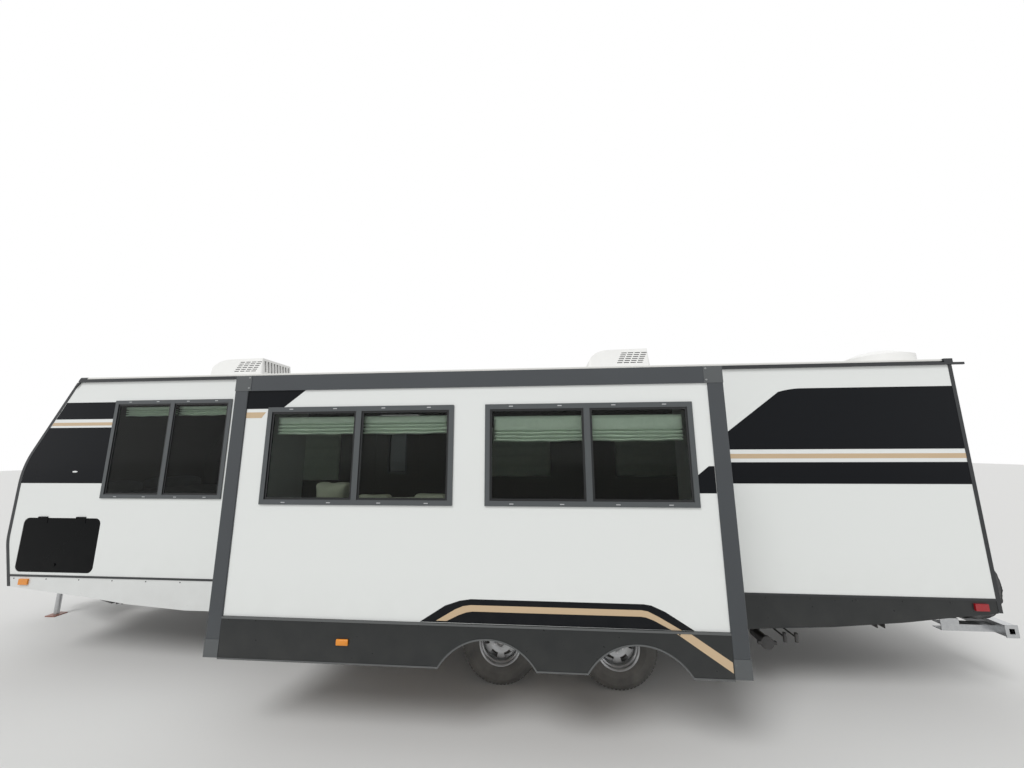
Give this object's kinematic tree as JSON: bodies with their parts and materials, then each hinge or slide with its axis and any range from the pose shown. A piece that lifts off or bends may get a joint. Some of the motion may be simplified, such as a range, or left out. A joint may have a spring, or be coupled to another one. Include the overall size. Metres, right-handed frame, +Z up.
{
  "type": "travel caravan with one slide-out room",
  "caption": "Towed living caravan with a raked, bowed nose, a slide-out room with tinted windows, roof coolers, a baggage space and a tongue jack.",
  "frame": {"origin": "on the ground, under the middle of the whole caravan's box with the slide-out room out", "axes": "+X from the coupler to the rear, +Y towards the door side, +Z up"},
  "size_m": [11.703, 3.4019, 3.5892],
  "materials": {
    "white_panel": "gloss laminated wall",
    "black_panel": "gloss black lid",
    "roof_membrane": "white roof membrane",
    "charcoal_trim": "satin charcoal moulding",
    "trim_metal": "satin extrusion",
    "skirt_white": "white formed sheet",
    "skirt_black": "black formed sheet",
    "frame_paint": "black chassis paint",
    "window_black": "satin black frame",
    "tinted_glass": "dark tinted",
    "tyre": "black rubber",
    "wheel_metal": "machined",
    "floor_board": "decking",
    "belly_plastic": "corrugated sheet",
    "cover_plastic": "moulded cover",
    "ac_plastic": "moulded shroud",
    "awning_white": "white arms and roller",
    "vinyl_black": "soft vinyl",
    "lamp_red": "red lens",
    "pipe_black": "pipe",
    "galvanised": "plated steel"
  },
  "bodies": {
    "body": {"chassis_rails": "frame_paint", "cross_frame": "frame_paint", "underbelly": "belly_plastic", "a_frame": "frame_paint", "coupler": "frame_paint", "tongue_jack": "galvanised", "propane_cover": "cover_plastic", "deck": "floor_board", "wall_left": "white_panel", "wall_right": "white_panel", "wall_rear": "white_panel", "front_cap": "white_panel", "roof": "roof_membrane", "roof_rails": "charcoal_trim", "body_mouldings": "trim_metal", "belt_trims": "charcoal_trim", "skirts_front": "skirt_white", "skirts_rear": "skirt_black", "window_frames": "window_black", "window_glass": "tinted_glass", "bed_platform": "floor_board", "axle_beams": "frame_paint", "torsion_arms": "frame_paint", "slide_guides": "frame_paint", "air_conditioners": "ac_plastic", "roof_vents": "ac_plastic", "awning": "awning_white", "rear_bumper": "galvanised", "spare_cover": "vinyl_black", "spare_carrier": "frame_paint", "tail_lamps": "lamp_red", "leg_brackets": "frame_paint", "drain_outlet": "pipe_black", "entry_steps": "frame_paint"},
    "slide_out": {"slide_wall": "white_panel", "slide_ends": "white_panel", "slide_floor": "floor_board", "slide_roof": "roof_membrane", "slide_fascia": "charcoal_trim", "slide_skirt": "skirt_black", "slide_frames": "window_black", "slide_glass": "tinted_glass", "slide_arms": "galvanised"},
    "door": {"entry_door": "white_panel", "door_frame": "window_black", "door_glass": "tinted_glass"},
    "lid_left": {"baggage_lid_left": "black_panel"},
    "lid_right": {"baggage_lid_right": "black_panel"},
    "hub_front_left": {"tyre_front_left": "tyre", "wheel_front_left": "wheel_metal"},
    "stabiliser_front_left": {"leg_front_left": "frame_paint"},
    "hub_rear_left": {"tyre_rear_left": "tyre", "wheel_rear_left": "wheel_metal"},
    "stabiliser_rear_left": {"leg_rear_left": "frame_paint"},
    "hub_front_right": {"tyre_front_right": "tyre", "wheel_front_right": "wheel_metal"},
    "stabiliser_front_right": {"leg_front_right": "frame_paint"},
    "hub_rear_right": {"tyre_rear_right": "tyre", "wheel_rear_right": "wheel_metal"},
    "stabiliser_rear_right": {"leg_rear_right": "frame_paint"}
  },
  "joints": [
    {"name": "spin_front_left", "type": "hinge", "parent": "body", "child": "hub_front_left", "pos_m": [0.9305, -0.6655, 0.38], "axis": [0, 1, 0], "continuous": true},
    {"name": "spin_rear_left", "type": "hinge", "parent": "body", "child": "hub_rear_left", "pos_m": [2.0795, -0.6655, 0.38], "axis": [0, 1, 0], "continuous": true},
    {"name": "spin_front_right", "type": "hinge", "parent": "body", "child": "hub_front_right", "pos_m": [0.9305, 1.3975, 0.38], "axis": [0, 1, 0], "continuous": true},
    {"name": "spin_rear_right", "type": "hinge", "parent": "body", "child": "hub_rear_right", "pos_m": [2.0795, 1.3975, 0.38], "axis": [0, 1, 0], "continuous": true},
    {"name": "slide_travel", "type": "slide", "parent": "body", "child": "slide_out", "axis": [0, -1, 0], "range_m": [-0.807, 0]},
    {"name": "door_swing", "type": "hinge", "parent": "body", "child": "door", "pos_m": [-1.5205, 1.594, 0.945], "axis": [0, 0, 1], "range_deg": [0, 160]},
    {"name": "lid_swing_left", "type": "hinge", "parent": "body", "child": "lid_left", "pos_m": [-4.5265, -0.862, 1.547], "axis": [-1, 0, 0], "range_deg": [0, 160]},
    {"name": "lid_swing_right", "type": "hinge", "parent": "body", "child": "lid_right", "pos_m": [-4.5265, 1.594, 1.547], "axis": [1, 0, 0], "range_deg": [0, 160]},
    {"name": "leg_swing_front_left", "type": "hinge", "parent": "body", "child": "stabiliser_front_left", "pos_m": [-3.4965, -0.534, 0.575], "axis": [-1, 0, 0], "range_deg": [0, 55]},
    {"name": "leg_swing_front_right", "type": "hinge", "parent": "body", "child": "stabiliser_front_right", "pos_m": [-3.4965, 1.266, 0.575], "axis": [1, 0, 0], "range_deg": [0, 55]},
    {"name": "leg_swing_rear_left", "type": "hinge", "parent": "body", "child": "stabiliser_rear_left", "pos_m": [4.6435, -0.534, 0.575], "axis": [-1, 0, 0], "range_deg": [0, 55]},
    {"name": "leg_swing_rear_right", "type": "hinge", "parent": "body", "child": "stabiliser_rear_right", "pos_m": [4.6435, 1.266, 0.575], "axis": [1, 0, 0], "range_deg": [0, 55]}
  ]
}
